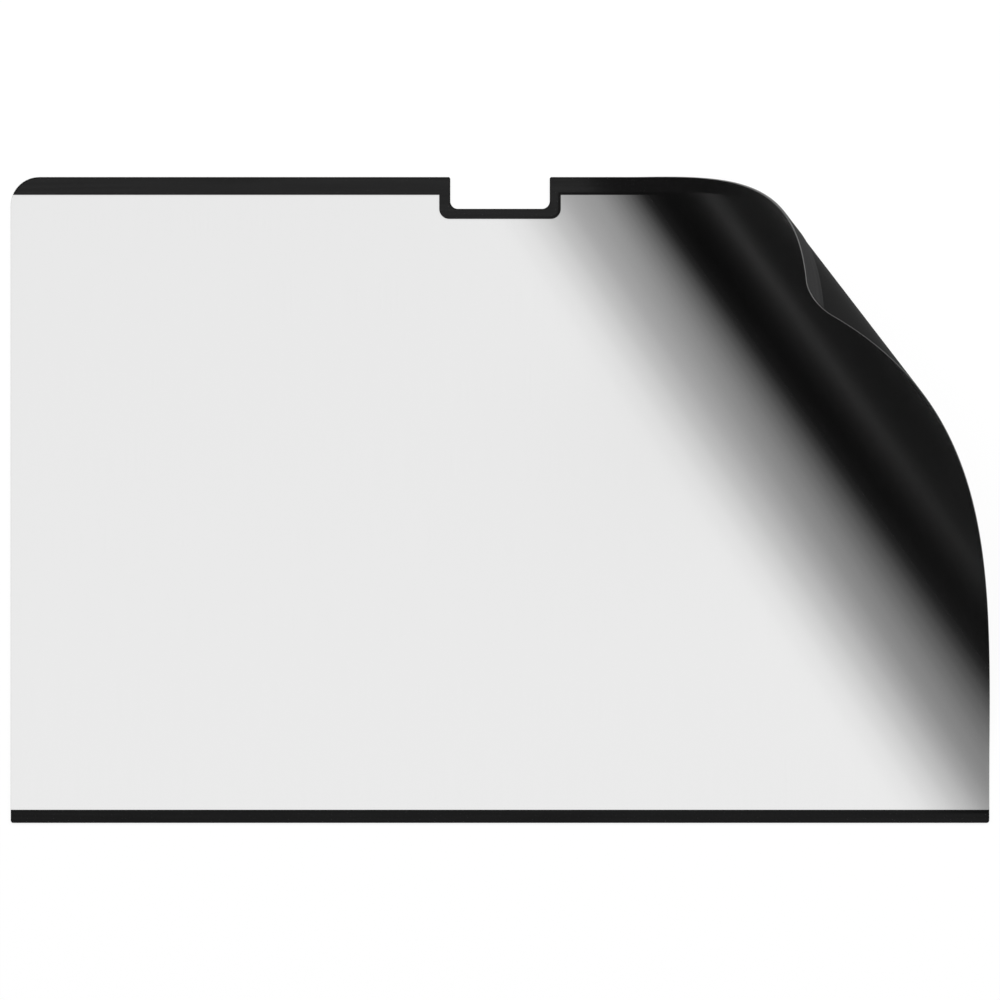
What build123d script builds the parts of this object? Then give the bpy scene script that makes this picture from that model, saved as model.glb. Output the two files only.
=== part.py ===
from build123d import *
from math import asin, atan2, cos, degrees, pi, sin, sqrt
import os

# Laptop privacy filter: a laminated film with a black magnet strip bonded behind its top
# edge and another behind its bottom edge. The film lies face up on the two strips, with
# its top right corner curled up and over towards the viewer.
# The origin is the centre of the sheet on the surface that it lies on. +X is to the right
# and +Y is towards the notched top edge, as the user sees the face.

# Film, as cut flat
SHEET_WIDTH = 305.0
SHEET_HEIGHT = 201.3
FILM_THICKNESS = 0.3
TOP_CORNER_RADIUS = 8.9
BOTTOM_CORNER_RADIUS = 0.8

# Notch for the camera, in the middle of the top edge
NOTCH_WIDTH = 31.0
NOTCH_DEPTH = 9.9
NOTCH_FLOOR_RADIUS = 2.4
NOTCH_MOUTH_RADIUS = 0.6

# Magnet strips, flush with the film's outline, and the glue between them and the film
STRIP_THICKNESS = 0.2
GLUE_LINE = 0.05
TOP_STRIP_HEIGHT = 5.5
BOTTOM_STRIP_HEIGHT = 4.05
SURROUND_SIDE = 3.45
SURROUND_FLOOR = 3.1
SURROUND_RADIUS = 3.1

# Curl: past the first bend line the sheet rolls up. The line starts on the top edge, right of
# the notch, and ends on the right edge above the bottom strip. The roll is conical: its
# straight lines, the rulings, all point back to an apex up that first line, beyond the sheet.
# It is tightest on the first line, with CURL_RADIUS at the top edge, and eases off to
# TIP_RADIUS at the corner's tip.
CURL_FROM_NOTCH = 21.8
CURL_TO_BOTTOM_STRIP = 0.95
CONE_REACH = 273.5
CURL_RADIUS = 26.1
TIP_RADIUS = 61.5
TIP_CHORD = 0.8

# Sections of each rolled stretch: the long one, and each short one at the rounded corner.
# Each section is rolled to its place from the first bend line in small steps.
LONG_STEPS = 16
CORNER_STEPS = 6
ROLL_STEPS = 120

top = SHEET_HEIGHT / 2
side = SHEET_WIDTH / 2
seat = STRIP_THICKNESS + GLUE_LINE
corner = Vector(side - TOP_CORNER_RADIUS, top - TOP_CORNER_RADIUS)
strip_edge = top - TOP_STRIP_HEIGHT

bend_top = Vector(NOTCH_WIDTH / 2 + CURL_FROM_NOTCH, top)
bend_side = Vector(side, BOTTOM_STRIP_HEIGHT + CURL_TO_BOTTOM_STRIP - top)
bend_way = (bend_side - bend_top).normalized()
bend_normal = Vector(-bend_way.Y, bend_way.X)
apex = bend_top - bend_way * CONE_REACH


def flat_angle(point):
    """Angle at the apex, on the flat sheet, between the first bend line and a point."""
    reach = point - apex
    return atan2(reach.dot(bend_normal), reach.dot(bend_way))


def ruling(angle):
    """Direction on the flat sheet of the straight line through the apex at an angle."""
    return bend_way * cos(angle) + bend_normal * sin(angle)


def corner_reach(way, end):
    """Distance from the apex along a ruling to the rounded corner: end -1 near, 1 far."""
    along = (corner - apex).dot(way)
    across = (corner - apex).cross(way).length
    return along + end * sqrt(max(TOP_CORNER_RADIUS**2 - across**2, 0))


def film_ends(angle):
    """Distances from the apex to where a ruling meets the top edge and the right edge."""
    way = ruling(angle)
    near = (top - apex.Y) / way.Y
    if apex.X + near * way.X > corner.X:
        near = corner_reach(way, -1)
    far = (side - apex.X) / way.X
    if apex.Y + far * way.Y > corner.Y:
        far = corner_reach(way, 1)
    return near, far


def strip_ends(angle):
    """The same for the top strip, which ends at its own lower edge."""
    near, far = film_ends(angle)
    return near, min(far, (strip_edge - apex.Y) / ruling(angle).Y)


def strip_end_point():
    """Point where the top strip's lower edge runs out of the sheet, on the flat sheet."""
    rise = max(strip_edge - corner.Y, 0)
    return Vector(corner.X + sqrt(TOP_CORNER_RADIUS**2 - rise**2), strip_edge)


def tip_angle():
    """Angle of the last ruling, whose chord across the rounded corner is TIP_CHORD."""
    to_corner = corner - apex
    across = sqrt(TOP_CORNER_RADIUS**2 - (TIP_CHORD / 2) ** 2)
    return flat_angle(corner) + asin(across / to_corner.length)


def tightness(angle):
    """Reach from the apex over the curl's radius there, which is constant along a ruling."""
    tip = tip_angle()
    first = CONE_REACH / CURL_RADIUS
    last = corner_reach(ruling(tip), 0) / TIP_RADIUS
    return first + (last - first) * angle / tip


def section_plane(angle):
    """Plane that cuts the curled sheet along the ruling at an angle on the flat sheet.

    Its X runs along the ruling and its Y along the normal of the sheet's face. It is rolled
    there step by step, each time about the axis of the cone that fits the curl at that step.
    """
    way, normal = bend_way, Vector(0, 0, 1)
    step = angle / ROLL_STEPS
    for count in range(ROLL_STEPS):
        tight = tightness((count + 0.5) * step)
        cone_axis = Axis((0, 0, 0), way * tight + normal)
        turn = degrees(step * sqrt(tight**2 + 1))
        way, normal = way.rotate(cone_axis, turn), normal.rotate(cone_axis, turn)
    return Plane(apex + Vector(0, 0, seat), x_dir=way, z_dir=way.cross(normal))


def rolled_stretch(ends, start, stop, steps, bottom, thickness):
    """Solid between two rulings, lofted through sections along the rulings between them.

    The steps shorten towards the end, where the rounded corner closes in on its tip.
    """
    sections = []
    for step in range(steps + 1):
        angle = start + (stop - start) * sin(pi / 2 * step / steps)
        near, far = ends(angle)
        profile = [
            (near, bottom),
            (far, bottom),
            (far, bottom + thickness),
            (near, bottom + thickness),
        ]
        sections.append(section_plane(angle) * Polygon(*profile, align=None))
    return loft(sections)


def rolled(ends, breaks, bottom, thickness):
    """Curled part of a layer: one stretch between each two of its breaks."""
    angles = sorted([0, *[flat_angle(point) for point in breaks], tip_angle()])
    stretches = []
    for start, stop in zip(angles, angles[1:]):
        steps = LONG_STEPS if start == 0 else CORNER_STEPS
        stretches.append(rolled_stretch(ends, start, stop, steps, bottom, thickness))
    return stretches


def sheet_outline():
    """Whole outline of the sheet with its four rounded corners, without the notch."""
    outline = Rectangle(SHEET_WIDTH, SHEET_HEIGHT)
    outline = fillet(outline.vertices().group_by(Axis.Y)[-1], TOP_CORNER_RADIUS)
    return fillet(outline.vertices().group_by(Axis.Y)[0], BOTTOM_CORNER_RADIUS)


def notch_outline(width, depth, radius):
    """Upright slot from above the top edge down to a floor with rounded corners."""
    slot = Pos(0, top) * Rectangle(width, 2 * depth)
    return fillet(slot.vertices().group_by(Axis.Y)[0], radius)


def past_bend():
    """Area of the flat sheet past the first bend line, which the curl takes up."""
    start = bend_top - bend_way * SHEET_HEIGHT
    stop = bend_side + bend_way * SHEET_HEIGHT
    away = bend_normal * SHEET_WIDTH
    return Polygon(*[(p.X, p.Y) for p in (start, stop, stop + away, start + away)], align=None)


def open_notch(layer):
    """Cuts the notch out of a layer and rounds the corners of its mouth."""
    layer -= notch_outline(NOTCH_WIDTH, NOTCH_DEPTH, NOTCH_FLOOR_RADIUS)
    along_top = layer.vertices().group_by(Axis.Y)[-1]
    mouth = along_top.sort_by(lambda vertex: abs(vertex.X))[:2]
    return fillet(mouth, NOTCH_MOUTH_RADIUS)


def privacy_film():
    """Film: one laminated sheet, flat up to the first bend line and curled past it."""
    flat = open_notch(sheet_outline()) - past_bend()
    film = Pos(0, 0, seat) * extrude(flat, FILM_THICKNESS)
    breaks = [Vector(corner.X, top), Vector(side, corner.Y)]
    return film + rolled(film_ends, breaks, 0, FILM_THICKNESS)


def top_magnet_strip():
    """Strip along the top edge, which goes round the notch and follows the curl."""
    surround = notch_outline(
        NOTCH_WIDTH + 2 * SURROUND_SIDE,
        NOTCH_DEPTH + SURROUND_FLOOR,
        SURROUND_RADIUS,
    )
    band = Pos(0, top - TOP_STRIP_HEIGHT / 2) * Rectangle(SHEET_WIDTH, TOP_STRIP_HEIGHT)
    flat = open_notch((band + surround) & sheet_outline()) - past_bend()
    strip = extrude(flat, STRIP_THICKNESS)
    breaks = [Vector(corner.X, top), strip_end_point()]
    return strip + rolled(strip_ends, breaks, -seat, STRIP_THICKNESS)


def bottom_magnet_strip():
    """Straight strip along the bottom edge."""
    band = Pos(0, BOTTOM_STRIP_HEIGHT / 2 - top) * Rectangle(SHEET_WIDTH, BOTTOM_STRIP_HEIGHT)
    return extrude(band & sheet_outline(), STRIP_THICKNESS)


nodes = {
    "privacy_film": privacy_film(),
    "top_magnet_strip": top_magnet_strip(),
    "bottom_magnet_strip": bottom_magnet_strip(),
}

os.makedirs("parts", exist_ok=True)
for name, solid in nodes.items():
    export_step(solid, f"parts/{name}.step")
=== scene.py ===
from math import asin, atan2, cos, degrees, pi, radians, sin, sqrt

import bpy
from mathutils import Matrix, Quaternion, Vector

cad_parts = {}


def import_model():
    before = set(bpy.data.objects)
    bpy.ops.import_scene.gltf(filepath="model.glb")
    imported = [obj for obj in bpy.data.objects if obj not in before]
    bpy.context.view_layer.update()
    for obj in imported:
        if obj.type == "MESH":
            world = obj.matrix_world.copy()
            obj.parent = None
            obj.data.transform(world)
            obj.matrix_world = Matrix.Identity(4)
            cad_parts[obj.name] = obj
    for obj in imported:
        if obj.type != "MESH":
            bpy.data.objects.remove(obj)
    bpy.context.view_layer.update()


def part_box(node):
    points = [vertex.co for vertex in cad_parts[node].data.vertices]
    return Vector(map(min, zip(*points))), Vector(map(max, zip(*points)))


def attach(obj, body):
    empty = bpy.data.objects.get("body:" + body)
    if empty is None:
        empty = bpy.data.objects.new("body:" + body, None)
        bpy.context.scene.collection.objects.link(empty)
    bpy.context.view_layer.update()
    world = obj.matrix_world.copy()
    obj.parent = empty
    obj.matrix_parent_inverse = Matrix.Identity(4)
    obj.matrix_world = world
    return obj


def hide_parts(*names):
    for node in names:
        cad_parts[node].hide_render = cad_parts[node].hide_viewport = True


# Laptop privacy filter: a see-through film with black magnet strips behind its top and
# bottom edges, lying face up with its top right corner curled up and over. Lengths are in
# metres. The frame gives the sheet's width, height and level, and the strips' thickness.
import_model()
film_low, film_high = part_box("privacy_film")
strip_low, strip_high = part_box("bottom_magnet_strip")

MM = 0.001

# Sheet, as cut flat: half its width and height, and the level of its rear face
SIDE = film_high[0]
TOP = -film_low[1]
SEAT = film_low[2]
FILM_THICKNESS = 0.3 * MM
TOP_CORNER_RADIUS = 8.9 * MM
BOTTOM_CORNER_RADIUS = 0.8 * MM

# Notch for the camera, in the middle of the top edge
NOTCH_HALF = 15.5 * MM
NOTCH_DEPTH = 9.9 * MM
NOTCH_FLOOR_RADIUS = 2.4 * MM
NOTCH_MOUTH_RADIUS = 0.6 * MM

# Strips behind the film, and the top one's surround of the notch
STRIP_THICKNESS = strip_high[2] - strip_low[2]
TOP_STRIP_HEIGHT = 5.5 * MM
BOTTOM_STRIP_HEIGHT = strip_high[1] - strip_low[1]
SURROUND_SIDE = 3.45 * MM
SURROUND_FLOOR = 3.1 * MM
SURROUND_RADIUS = 3.1 * MM

# Curl: past the first bend line the sheet rolls up along rulings that fan out from an apex
CURL_FROM_NOTCH = 21.8 * MM
CURL_TO_BOTTOM_STRIP = 0.95 * MM
CONE_REACH = 273.5 * MM
CURL_RADIUS = 26.1 * MM
TIP_RADIUS = 61.5 * MM
TIP_CHORD = 0.8 * MM

# Mesh steps
ARC_STEPS = 10
LONG_STEPS = 96
CORNER_STEPS = 12
ROLL_STEPS = 120
FILM_RULING_STEPS = 16
STRIP_RULING_STEPS = 6

top_corner = Vector((SIDE - TOP_CORNER_RADIUS, TOP - TOP_CORNER_RADIUS))
strip_edge = TOP - TOP_STRIP_HEIGHT
notch_floor = TOP - NOTCH_DEPTH
bend_top = Vector((NOTCH_HALF + CURL_FROM_NOTCH, TOP))
bend_side = Vector((SIDE, BOTTOM_STRIP_HEIGHT + CURL_TO_BOTTOM_STRIP - TOP))
bend_way = (bend_side - bend_top).normalized()
bend_normal = Vector((-bend_way.y, bend_way.x))
apex = bend_top - bend_way * CONE_REACH


# Form of the sheet

def flat_angle(point):
    """Angle at the apex, on the flat sheet, between the first bend line and a point."""
    reach = point - apex
    return atan2(reach.dot(bend_normal), reach.dot(bend_way))


def ruling(angle):
    """Direction on the flat sheet of the straight line through the apex at an angle."""
    return bend_way * cos(angle) + bend_normal * sin(angle)


def corner_reach(way, end):
    """Distance from the apex along a ruling to the rounded corner: end -1 near, 1 far."""
    to_corner = top_corner - apex
    across = to_corner.cross(way)
    return to_corner.dot(way) + end * sqrt(max(TOP_CORNER_RADIUS**2 - across**2, 0))


def film_ends(angle):
    """Distances from the apex to where a ruling meets the top edge and the right edge."""
    way = ruling(angle)
    near = (TOP - apex.y) / way.y
    if apex.x + near * way.x > top_corner.x:
        near = corner_reach(way, -1)
    far = (SIDE - apex.x) / way.x
    if apex.y + far * way.y > top_corner.y:
        far = corner_reach(way, 1)
    return near, far


def strip_ends(angle):
    """The same for the top strip, which ends at its own lower edge."""
    near, far = film_ends(angle)
    return near, min(far, (strip_edge - apex.y) / ruling(angle).y)


def strip_end_point():
    """Point where the top strip's lower edge runs out of the flat sheet."""
    rise = strip_edge - top_corner.y
    return Vector((top_corner.x + sqrt(TOP_CORNER_RADIUS**2 - rise**2), strip_edge))


def tip_angle():
    """Angle of the last ruling, whose chord across the rounded corner is TIP_CHORD."""
    across = sqrt(TOP_CORNER_RADIUS**2 - (TIP_CHORD / 2) ** 2)
    return flat_angle(top_corner) + asin(across / (top_corner - apex).length)


def tightness(angle):
    """Reach from the apex over the curl's radius there, which is constant along a ruling."""
    tip = tip_angle()
    first = CONE_REACH / CURL_RADIUS
    last = corner_reach(ruling(tip), 0) / TIP_RADIUS
    return first + (last - first) * angle / tip


def rolled_ruling(angle):
    """Direction of a ruling and normal of the face along it, once the sheet has rolled up."""
    way, normal = bend_way.to_3d(), Vector((0, 0, 1))
    step = angle / ROLL_STEPS
    for count in range(ROLL_STEPS):
        tight = tightness((count + 0.5) * step)
        turn = Matrix.Rotation(step * sqrt(tight**2 + 1), 3, way * tight + normal)
        way, normal = turn @ way, turn @ normal
    return way, normal


def flat_point(point):
    """Point of the sheet that stays flat, as its place on the cut sheet, a base and a normal."""
    return point, point.to_3d() + Vector((0, 0, SEAT)), Vector((0, 0, 1))


def rolled_rows(ends, breaks, steps):
    """Points of the curled part, one row for each ruling from the first bend line on."""
    angles = sorted([0, *[flat_angle(point) for point in breaks], tip_angle()])
    stations = [0]
    for start, stop in zip(angles, angles[1:]):
        count = LONG_STEPS if start == 0 else CORNER_STEPS
        for step in range(1, count + 1):
            stations.append(start + (stop - start) * sin(pi / 2 * step / count))
    base = apex.to_3d() + Vector((0, 0, SEAT))
    rows = []
    for angle in stations:
        near, far = ends(angle)
        way, normal = rolled_ruling(angle)
        reaches = [near + (far - near) * i / steps for i in range(steps + 1)]
        rows.append([(apex + ruling(angle) * r, base + way * r, normal) for r in reaches])
    return rows


def arc(x, y, radius, start, stop):
    """Points round an arc about (x, y), from one angle to another in degrees."""
    turns = [radians(start + (stop - start) * i / ARC_STEPS) for i in range(ARC_STEPS + 1)]
    return [Vector((x + radius * cos(turn), y + radius * sin(turn))) for turn in turns]


def notch_path():
    """Edge of the notch, from the right of its mouth to the left."""
    mouth, floor = NOTCH_MOUTH_RADIUS, NOTCH_FLOOR_RADIUS
    return [
        *arc(NOTCH_HALF + mouth, TOP - mouth, mouth, 90, 180),
        *arc(NOTCH_HALF - floor, notch_floor + floor, floor, 0, -90),
        *arc(floor - NOTCH_HALF, notch_floor + floor, floor, -90, -180),
        *arc(-NOTCH_HALF - mouth, TOP - mouth, mouth, 0, 90),
    ]


def bottom_corners():
    """The sheet's two bottom corners, from the left one to the right one."""
    low = BOTTOM_CORNER_RADIUS
    return [
        *arc(low - SIDE, low - TOP, low, 180, 270),
        *arc(SIDE - low, low - TOP, low, 270, 360),
    ]


def film_outline():
    """Outline of the film's flat part, counter-clockwise round from one end of the first
    bend line to the other."""
    return [
        *notch_path(),
        *arc(-top_corner.x, top_corner.y, TOP_CORNER_RADIUS, 90, 180),
        *bottom_corners(),
    ]


def top_strip_outline():
    """Outline of the top strip's flat part, round the notch and its surround."""
    half = NOTCH_HALF + SURROUND_SIDE
    floor = notch_floor - SURROUND_FLOOR
    radius = SURROUND_RADIUS
    left_end = 180 - degrees(asin((strip_edge - top_corner.y) / TOP_CORNER_RADIUS))
    return [
        *notch_path(),
        *arc(-top_corner.x, top_corner.y, TOP_CORNER_RADIUS, 90, left_end),
        Vector((-half, strip_edge)),
        *arc(radius - half, floor + radius, radius, 180, 270),
        *arc(half - radius, floor + radius, radius, 270, 360),
        Vector((half, strip_edge)),
    ]


def bottom_strip_outline():
    """Outline of the bottom strip, square at its upper corners."""
    upper = BOTTOM_STRIP_HEIGHT - TOP
    return [Vector((SIDE, upper)), Vector((-SIDE, upper)), *bottom_corners()]


def sheet_layout(outline, rows):
    """Points and faces of a layer: one face for the flat part, then the curl's rows."""
    first_row = rows[0] if rows else []
    points = [*first_row[::-1], *[flat_point(point) for point in outline]]
    faces = [list(range(len(points)))]
    previous = list(range(len(first_row)))[::-1]
    for row in rows[1:]:
        current = list(range(len(points), len(points) + len(row)))
        points.extend(row)
        for i in range(len(row) - 1):
            faces.append([previous[i], previous[i + 1], current[i + 1], current[i]])
        previous = current
    return points, faces


def rim_edges(faces):
    """Edges that belong to one face alone, in that face's direction."""
    edges = {(face[i - 1], face[i]) for face in faces for i in range(len(face))}
    return [edge for edge in sorted(edges) if (edge[1], edge[0]) not in edges]


def add_object(name, data):
    """New object in the scene, made of a mesh, a lamp or a camera."""
    thing = bpy.data.objects.new(name, data)
    bpy.context.scene.collection.objects.link(thing)
    return thing


def sheet_piece(name, outline, rows, bottom, thickness, materials):
    """Closed mesh of one layer. Its materials are those of its front, rear and cut edge."""
    points, faces = sheet_layout(outline, rows)
    count = len(points)
    vertices = [base + normal * bottom for _, base, normal in points]
    vertices += [base + normal * (bottom + thickness) for _, base, normal in points]
    rim = rim_edges(faces)
    groups = (
        [[i + count for i in face] for face in faces],
        [face[::-1] for face in faces],
        [[a, b, b + count, a + count] for a, b in rim],
    )
    mesh = bpy.data.meshes.new(name)
    mesh.from_pydata(vertices, [], [face for group in groups for face in group])
    kinds = [kind for kind, group in enumerate(groups) for _ in group]
    mesh.polygons.foreach_set("material_index", kinds)
    mesh.polygons.foreach_set("use_smooth", [True] * len(kinds))
    on_sheet = mesh.uv_layers.new(name="sheet")
    across_edge = mesh.uv_layers.new(name="edge")
    for loop in mesh.loops:
        on_sheet.data[loop.index].uv = points[loop.vertex_index % count][0]
        across_edge.data[loop.index].uv = (0, loop.vertex_index // count)
    sharp = {frozenset(edge) for edge in rim}
    sharp |= {frozenset((a + count, b + count)) for a, b in rim}
    for edge in mesh.edges:
        edge.use_edge_sharp = frozenset(edge.vertices) in sharp
    for material in materials:
        mesh.materials.append(material)
    piece = add_object(name, mesh)
    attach(piece, "root")
    return piece


# Materials

# The film darkens towards the curl in two ways. Both are painted shade fixed on the sheet,
# standing in for its louvres' darkening as it tilts away from above.
# Its front dims in straight bands about one line, from the flat sheet before the bend on, and its
# rear shuts in bands that fan out past another, from a point up that line. Each line is given by
# its ends, on the top edge of the sheet and level with its right edge.
DIM_LINE = Vector((16.65 * MM, TOP)), Vector((SIDE, -99.1 * MM))
SHUT_LINE = Vector((21.9 * MM, TOP)), Vector((SIDE, -112.7 * MM))

# Distance of the fan's point above the top edge, along its line, and the distance from that
# point at which the bands have their given widths
SHUT_FAN_REACH = 212.0 * MM
SHUT_FAN_SPAN = 282.5 * MM

# Share of light that each face lets through, at even steps between two distances past its line.
# The front is painted a little darker towards the sheet's top edge than at its bottom edge, as
# painted shade. It dims later over the strips, up to an inset from their edges, so that a low view
# sees no clear film beside them.
DIM_FROM, DIM_TO = -26.0 * MM, 10.0 * MM
DIM_SHARES = (0.828, 0.803, 0.729, 0.594, 0.452, 0.354, 0.354)
SHADE_TOWARDS_TOP = 0.0136
DIM_LATER = 22.0 * MM
BORDER_INSET = 0.8 * MM
SHUT_FROM, SHUT_TO = 0.0, 28.0 * MM
SHUT_SHARES = (
    1.0, 0.979, 0.935, 0.849, 0.745, 0.641, 0.53, 0.41,
    0.29, 0.169, 0.07, 0.0225, 0.0085, 0.0022, 0.0,
)

# Film: features a metre across the sheet and up it, how much they change its roughness and
# its clearness, the depth of its relief, and the roughness of its sheen
CLOUDS = 16, 16
LOUVRE_STREAKS = 2400, 40
CLOUD_ROUGHNESS = 0.03
STREAK_CLEARNESS = 0.003
STREAK_DEPTH = 0.3e-6
SHEEN_ROUGHNESS = 0.42

# Cut edge of the film: greys of its layers from the rear to the front, and the cutter's marks
EDGE_LAYERS = (0.0, 0.17), (0.4, 0.15), (0.48, 0.04), (0.72, 0.04), (0.8, 0.07), (1.0, 0.08)
EDGE_ROUGHNESS = 0.35, 0.55
NICKS = 900, 900
NICK_SHIFT = 0.06
NICK_DEPTH = 2e-6

# Magnet strips: grain of the rubber, streaks from the rollers, and the part of the range of
# both together over which the colour goes from dark to light
GRAIN = 3000, 3000
ROLLER_STREAKS = 30, 1200
GRAIN_ROUGHNESS = 0.06
GRAIN_DEPTH = 5e-6
STRIP_DARKEST, STRIP_LIGHTEST = 0.05, 0.5


def new_material(name):
    """Node material, as the material, its node tree and its shader."""
    material = bpy.data.materials.new(name)
    material.use_nodes = True
    return material, material.node_tree, material.node_tree.nodes["Principled BSDF"]


def math_node(tree, operation, first, second=0.0):
    """Result of a math node fed by sockets or plain numbers."""
    node = tree.nodes.new("ShaderNodeMath")
    node.operation = operation
    for socket, value in zip(node.inputs, (first, second)):
        if isinstance(value, (int, float)):
            socket.default_value = value
        else:
            tree.links.new(value, socket)
    return node.outputs["Value"]


def vector_node(tree, operation, first, *others):
    """Outputs of a vector math node fed by a socket and plain vectors."""
    node = tree.nodes.new("ShaderNodeVectorMath")
    node.operation = operation
    tree.links.new(first, node.inputs[0])
    for socket, value in zip(node.inputs[1:], others):
        socket.default_value = value
    return node.outputs


def coordinate(tree, vector, axis):
    """One coordinate of a vector."""
    node = tree.nodes.new("ShaderNodeSeparateXYZ")
    tree.links.new(vector, node.inputs["Vector"])
    return node.outputs[axis]


def uv_map(tree, name):
    """Coordinates from a UV map: on the flat sheet in metres, or across its cut edge."""
    node = tree.nodes.new("ShaderNodeUVMap")
    node.uv_map = name
    return node.outputs["UV"]


def noise(tree, vector, features, detail=0.0):
    """Flat noise with so many features a metre across the sheet and up it."""
    mapping = tree.nodes.new("ShaderNodeMapping")
    mapping.inputs["Scale"].default_value = (*features, 1)
    tree.links.new(vector, mapping.inputs["Vector"])
    node = tree.nodes.new("ShaderNodeTexNoise")
    node.noise_dimensions = "2D"
    node.inputs["Scale"].default_value = 1.0
    node.inputs["Detail"].default_value = detail
    tree.links.new(mapping.outputs["Vector"], node.inputs["Vector"])
    return node.outputs["Fac"]


def spread(tree, value, low, high, start=0.0, stop=1.0):
    """Maps a value from the range of start and stop on to that of low and high."""
    node = tree.nodes.new("ShaderNodeMapRange")
    node.inputs["From Min"].default_value = start
    node.inputs["From Max"].default_value = stop
    node.inputs["To Min"].default_value = low
    node.inputs["To Max"].default_value = high
    tree.links.new(value, node.inputs["Value"])
    return node.outputs["Result"]


def ramp(tree, value, stops, interpolation="LINEAR"):
    """Colour by a value, from stops of a position and a colour or a grey."""
    node = tree.nodes.new("ShaderNodeValToRGB")
    node.color_ramp.interpolation = interpolation
    elements = node.color_ramp.elements
    while len(elements) < len(stops):
        elements.new(1.0)
    for element, (position, colour) in zip(elements, stops):
        element.position = position
        element.color = (colour, colour, colour, 1) if isinstance(colour, float) else (*colour, 1)
    tree.links.new(value, node.inputs["Fac"])
    return node.outputs["Color"]


def bump(tree, shader, height, depth):
    """Fine relief on a shader's normal, so many metres deep."""
    node = tree.nodes.new("ShaderNodeBump")
    node.inputs["Distance"].default_value = depth
    tree.links.new(height, node.inputs["Height"])
    tree.links.new(node.outputs["Normal"], shader.inputs["Normal"])


def along_axis(tree, point, origin, axis):
    """Distance of a point from an origin, along an axis on the flat sheet."""
    reach = vector_node(tree, "SUBTRACT", point, origin.to_3d())["Vector"]
    return vector_node(tree, "DOT_PRODUCT", reach, axis.to_3d())["Value"]


def shares(tree, place, start, stop, values):
    """Smooth curve through values at even steps from one place to another."""
    share = spread(tree, place, 0.0, 1.0, start, stop)
    stops = [(i / (len(values) - 1), value) for i, value in enumerate(values)]
    return ramp(tree, share, stops, "CARDINAL")


def over_strips(tree, sheet):
    """One over the top strip and the bottom strip, nought between their insets."""
    middle = (BOTTOM_STRIP_HEIGHT - TOP_STRIP_HEIGHT) / 2
    from_middle = math_node(tree, "SUBTRACT", coordinate(tree, sheet, "Y"), middle)
    from_middle = math_node(tree, "ABSOLUTE", from_middle)
    return math_node(tree, "GREATER_THAN", from_middle, strip_edge + BORDER_INSET - middle)


def over_surround(tree, sheet):
    """One over the notch and the strip's surround of it, nought elsewhere.

    Places are measured down from a level above the sheet, where only left and right differ in
    sign, so that dropping the sign makes both sides of the notch alike.
    """
    level = 2 * TOP
    corner_x = NOTCH_HALF + SURROUND_SIDE - SURROUND_RADIUS
    corner_y = notch_floor - SURROUND_FLOOR + SURROUND_RADIUS
    place = vector_node(tree, "MULTIPLY_ADD", sheet, (1, -1, 0), (0, level, 0))["Vector"]
    place = vector_node(tree, "ABSOLUTE", place)["Vector"]
    past_corner = vector_node(tree, "SUBTRACT", place, (corner_x, level - corner_y, 0))["Vector"]
    past_corner = vector_node(tree, "MAXIMUM", past_corner, (0, 0, 0))["Vector"]
    reach = vector_node(tree, "LENGTH", past_corner)["Value"]
    return math_node(tree, "LESS_THAN", reach, SURROUND_RADIUS - BORDER_INSET)


def border(tree, sheet):
    """One over the strips and the surround of the notch, nought elsewhere."""
    return math_node(tree, "MAXIMUM", over_strips(tree, sheet), over_surround(tree, sheet))


def painted_shade_front(tree, sheet):
    """Share of light that the front face lets through, darkened as painted shade: straight bands
    towards the curl, later over the strips, and a little darker up the sheet, also painted shade."""
    start, stop = DIM_LINE
    way = (stop - start).normalized()
    past = along_axis(tree, sheet, start, Vector((-way.y, way.x)))
    later = math_node(tree, "MULTIPLY", border(tree, sheet), DIM_LATER)
    past = math_node(tree, "SUBTRACT", past, later)
    clear = shares(tree, past, DIM_FROM, DIM_TO, DIM_SHARES)
    # Painted shade: the front lets a little less light through towards the sheet's top edge
    height = coordinate(tree, sheet, "Y")
    painted_shade_up_sheet = spread(tree, height, 1 + SHADE_TOWARDS_TOP, 1 - SHADE_TOWARDS_TOP, -TOP, TOP)
    return math_node(tree, "MULTIPLY", clear, painted_shade_up_sheet)


def painted_shade_rear(tree, sheet):
    """Share of light that the rear face lets through, darkened as painted shade: bands that fan
    out.
    """
    start, stop = SHUT_LINE
    way = (stop - start).normalized()
    fan = start - way * SHUT_FAN_REACH
    across = along_axis(tree, sheet, fan, Vector((-way.y, way.x)))
    along = along_axis(tree, sheet, fan, way)
    slope = math_node(tree, "DIVIDE", across, along)
    past = math_node(tree, "MULTIPLY", slope, SHUT_FAN_SPAN)
    return shares(tree, past, SHUT_FROM, SHUT_TO, SHUT_SHARES)


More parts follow.
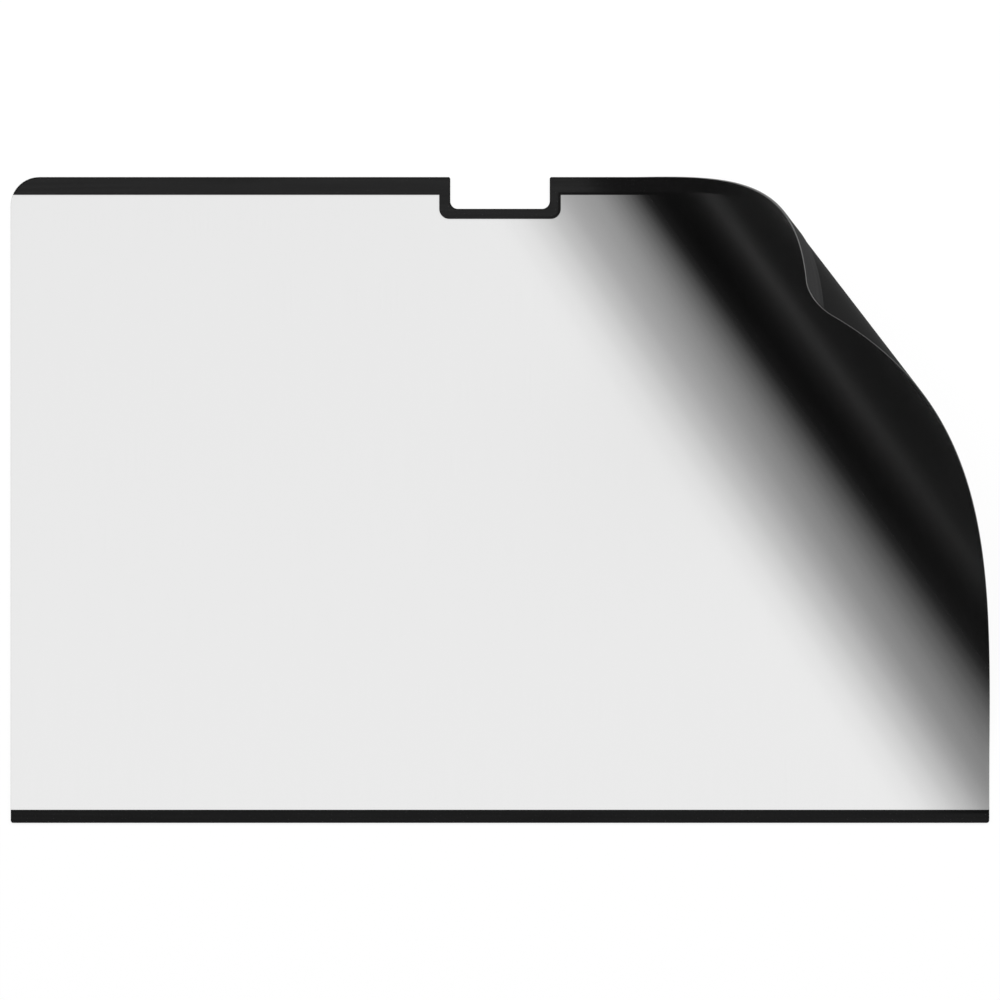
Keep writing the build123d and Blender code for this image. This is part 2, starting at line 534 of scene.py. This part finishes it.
def film_material(name, dark, light, roughness, border_roughness, gloss, sheen, see_through):
    """Film face: louvred and see-through where flat, satin black from painted shade where it curls
    away.

    Over the strips it has a roughness of its own.
    """
    material, tree, shader = new_material(name)
    sheet = uv_map(tree, "sheet")
    clouds = noise(tree, sheet, CLOUDS, detail=1.0)
    streaks = noise(tree, sheet, LOUVRE_STREAKS)
    colour = ramp(tree, clouds, ((0.0, dark), (1.0, light)))
    tree.links.new(colour, shader.inputs["Base Color"])
    uneven = spread(tree, clouds, roughness - CLOUD_ROUGHNESS, roughness + CLOUD_ROUGHNESS)
    duller = math_node(tree, "MULTIPLY", border(tree, sheet), border_roughness - roughness)
    tree.links.new(math_node(tree, "ADD", uneven, duller), shader.inputs["Roughness"])
    streaked = spread(tree, streaks, 1 - STREAK_CLEARNESS, 1 + STREAK_CLEARNESS)
    clear = math_node(tree, "MULTIPLY", see_through(tree, sheet), streaked)
    tree.links.new(math_node(tree, "SUBTRACT", 1.0, clear), shader.inputs["Alpha"])
    bump(tree, shader, streaks, STREAK_DEPTH)
    shader.inputs["Specular IOR Level"].default_value = gloss
    shader.inputs["Sheen Weight"].default_value = sheen
    shader.inputs["Sheen Roughness"].default_value = SHEEN_ROUGHNESS
    return material


def cut_edge_material():
    """Cut edge of the film: a clear rear layer and dark louvred ones, uneven from the cutter."""
    material, tree, shader = new_material("film_cut_edge")
    nicks = noise(tree, uv_map(tree, "sheet"), NICKS, detail=1.0)
    across = coordinate(tree, uv_map(tree, "edge"), "Y")
    across = math_node(tree, "ADD", across, spread(tree, nicks, -NICK_SHIFT, NICK_SHIFT))
    tree.links.new(ramp(tree, across, EDGE_LAYERS), shader.inputs["Base Color"])
    tree.links.new(spread(tree, nicks, *EDGE_ROUGHNESS), shader.inputs["Roughness"])
    bump(tree, shader, nicks, NICK_DEPTH)
    return material


def strip_material(name, dark, light, roughness, gloss):
    """Magnet strip: ferrite in black rubber, with a fine grain and faint rolling streaks."""
    material, tree, shader = new_material(name)
    sheet = uv_map(tree, "sheet")
    grain = noise(tree, sheet, GRAIN, detail=1.0)
    streaks = noise(tree, sheet, ROLLER_STREAKS)
    mixed = math_node(tree, "MULTIPLY", grain, streaks)
    colour = ramp(tree, mixed, ((STRIP_DARKEST, dark), (STRIP_LIGHTEST, light)))
    tree.links.new(colour, shader.inputs["Base Color"])
    uneven = spread(tree, grain, roughness - GRAIN_ROUGHNESS, roughness + GRAIN_ROUGHNESS)
    tree.links.new(uneven, shader.inputs["Roughness"])
    bump(tree, shader, grain, GRAIN_DEPTH)
    shader.inputs["Specular IOR Level"].default_value = gloss
    return material


film_front = film_material(
    "film_front",
    dark=(0.0026, 0.0026, 0.0026),
    light=(0.0042, 0.0042, 0.0043),
    roughness=0.34,
    border_roughness=0.75,
    gloss=0.09,
    sheen=0.12,
    see_through=painted_shade_front,
)
film_rear = film_material(
    "film_rear",
    dark=(0.0075, 0.0075, 0.0075),
    light=(0.01, 0.01, 0.0101),
    roughness=0.5,
    border_roughness=0.5,
    gloss=0.006,
    sheen=0.0,
    see_through=painted_shade_rear,
)
top_strip_front = strip_material(
    "strip_front",
    dark=(0.0155, 0.0155, 0.0157),
    light=(0.0225, 0.0225, 0.0228),
    roughness=0.5,
    gloss=0.1,
)
bottom_strip_front = strip_material(
    "bottom_strip_front",
    dark=(0.0108, 0.0108, 0.011),
    light=(0.0149, 0.0149, 0.0152),
    roughness=0.5,
    gloss=0.08,
)
strip_rear = strip_material(
    "strip_rear",
    dark=(0.016, 0.016, 0.0162),
    light=(0.0235, 0.0235, 0.0238),
    roughness=0.65,
    gloss=0.025,
)
strip_side = strip_material(
    "strip_edge",
    dark=(0.012, 0.012, 0.0122),
    light=(0.02, 0.02, 0.0204),
    roughness=0.65,
    gloss=0.1,
)


# Pieces

top_end = Vector((top_corner.x, TOP))
film_rows = rolled_rows(film_ends, [top_end, Vector((SIDE, top_corner.y))], FILM_RULING_STEPS)
film_sheet = sheet_piece(
    "film_sheet",
    film_outline(),
    film_rows,
    bottom=0,
    thickness=FILM_THICKNESS,
    materials=(film_front, film_rear, cut_edge_material()),
)
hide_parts("privacy_film")

strip_rows = rolled_rows(strip_ends, [top_end, strip_end_point()], STRIP_RULING_STEPS)
top_strip = sheet_piece(
    "top_strip",
    top_strip_outline(),
    strip_rows,
    bottom=-SEAT,
    thickness=STRIP_THICKNESS,
    materials=(top_strip_front, strip_rear, strip_side),
)
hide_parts("top_magnet_strip")

bottom_strip = sheet_piece(
    "bottom_strip",
    bottom_strip_outline(),
    [],
    bottom=-SEAT,
    thickness=STRIP_THICKNESS,
    materials=(bottom_strip_front, strip_rear, strip_side),
)
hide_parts("bottom_magnet_strip")


# Stage

# Camera, straight above the sheet's centre: its height over the film's face, the width of its
# view there, and its sensor in the camera's own millimetres
CAMERA_HEIGHT = 884.7 * MM
VIEW_WIDTH = 311.67 * MM
SENSOR_WIDTH = 36.0

# Floor: its size, the gap under the strips, its colour, the share of its white that is its own
# near the part, and the distances over which that rises to all of it
FLOOR_HALF = 8.0
FLOOR_DROP = 0.2 * MM
FLOOR_WHITE = 0.98
FLOOR_GLOW = 0.9
NEAR_FLOOR = 0.4
FAR_FLOOR = 2.0

# Surroundings: how bright they are, and the rise of the view up to which a reflection sees
# the white wall
SURROUNDINGS = 0.08
WALL_FADES = 0.17
WALL_ENDS = 0.5


def floor():
    """Plain white floor. Most of the white that is seen is its own, and the rest takes shadow.

    Far from the part all of it is its own, so that the floor runs into the white backdrop.
    """
    mesh = bpy.data.meshes.new("floor")
    ends = (-FLOOR_HALF, FLOOR_HALF)
    mesh.from_pydata([(x, y, -FLOOR_DROP) for y in ends for x in ends], [], [[0, 1, 3, 2]])
    material, tree, shader = new_material("floor")
    tree.nodes.remove(shader)
    matt = tree.nodes.new("ShaderNodeBsdfDiffuse")
    matt.inputs["Color"].default_value = (FLOOR_WHITE, FLOOR_WHITE, FLOOR_WHITE, 1)
    glow = tree.nodes.new("ShaderNodeEmission")
    rays = tree.nodes.new("ShaderNodeLightPath").outputs
    seen = math_node(tree, "MAXIMUM", rays["Is Camera Ray"], rays["Is Glossy Ray"])
    seen = math_node(tree, "MAXIMUM", seen, rays["Is Transmission Ray"])
    place = tree.nodes.new("ShaderNodeNewGeometry").outputs["Position"]
    reach = vector_node(tree, "LENGTH", place)["Value"]
    own = spread(tree, reach, FLOOR_GLOW, 1.0, NEAR_FLOOR, FAR_FLOOR)
    mix = tree.nodes.new("ShaderNodeMixShader")
    tree.links.new(math_node(tree, "MULTIPLY", seen, own), mix.inputs["Fac"])
    tree.links.new(matt.outputs["BSDF"], mix.inputs[1])
    tree.links.new(glow.outputs["Emission"], mix.inputs[2])
    tree.links.new(mix.outputs["Shader"], tree.nodes["Material Output"].inputs["Surface"])
    mesh.materials.append(material)
    add_object("floor", mesh)


def soft_light(name, place, width, height, power, roll=0.0):
    """Soft box that faces the sheet's centre, rolled on its stand by so many degrees."""
    data = bpy.data.lights.new(name, "AREA")
    data.shape = "RECTANGLE"
    data.size = width
    data.size_y = height
    data.energy = power
    lamp = add_object(name, data)
    lamp.visible_camera = False
    lamp.location = place
    lamp.rotation_mode = "QUATERNION"
    level = (-Vector(place)).to_track_quat("-Z", "Y")
    lamp.rotation_quaternion = level @ Quaternion((0, 0, 1), radians(roll))


def camera():
    """Camera that looks straight down on the sheet's face."""
    data = bpy.data.cameras.new("camera")
    data.sensor_width = SENSOR_WIDTH
    data.lens = SENSOR_WIDTH * CAMERA_HEIGHT / VIEW_WIDTH
    eye = add_object("camera", data)
    eye.location = (0, 0, SEAT + FILM_THICKNESS + CAMERA_HEIGHT)
    bpy.context.scene.camera = eye


def world():
    """Dim even surroundings, so that the black film keeps its depth, with a white backdrop.

    The camera sees the backdrop all round. Reflections see it up to the height of a studio wall.
    """
    surroundings = bpy.data.worlds.new("studio")
    surroundings.use_nodes = True
    tree = surroundings.node_tree
    direction = tree.nodes.new("ShaderNodeTexCoord").outputs["Generated"]
    wall = spread(tree, coordinate(tree, direction, "Z"), 1.0, 0.0, WALL_FADES, WALL_ENDS)
    rays = tree.nodes.new("ShaderNodeLightPath").outputs
    mirrored = math_node(tree, "MAXIMUM", rays["Is Glossy Ray"], rays["Is Transmission Ray"])
    mirrored = math_node(tree, "MULTIPLY", mirrored, wall)
    seen = math_node(tree, "MAXIMUM", rays["Is Camera Ray"], mirrored)
    background = tree.nodes["Background"]
    background.inputs["Color"].default_value = (1, 1, 1, 1)
    tree.links.new(math_node(tree, "MAXIMUM", seen, SURROUNDINGS), background.inputs["Strength"])
    surroundings.cycles.sampling_method = "NONE"
    bpy.context.scene.world = surroundings


floor()
world()
soft_light("key", place=(1.3, 0.9, 1.3), width=1.0, height=1.0, power=36.0)
soft_light("fill", place=(-0.8, 1.3, 1.3), width=1.2, height=1.2, power=30.0)
soft_light("low", place=(-1.37, -0.61, 0.305), width=1.45, height=0.245, power=10.3, roll=-33.0)
camera()
bpy.context.scene.view_settings.view_transform = "Standard"
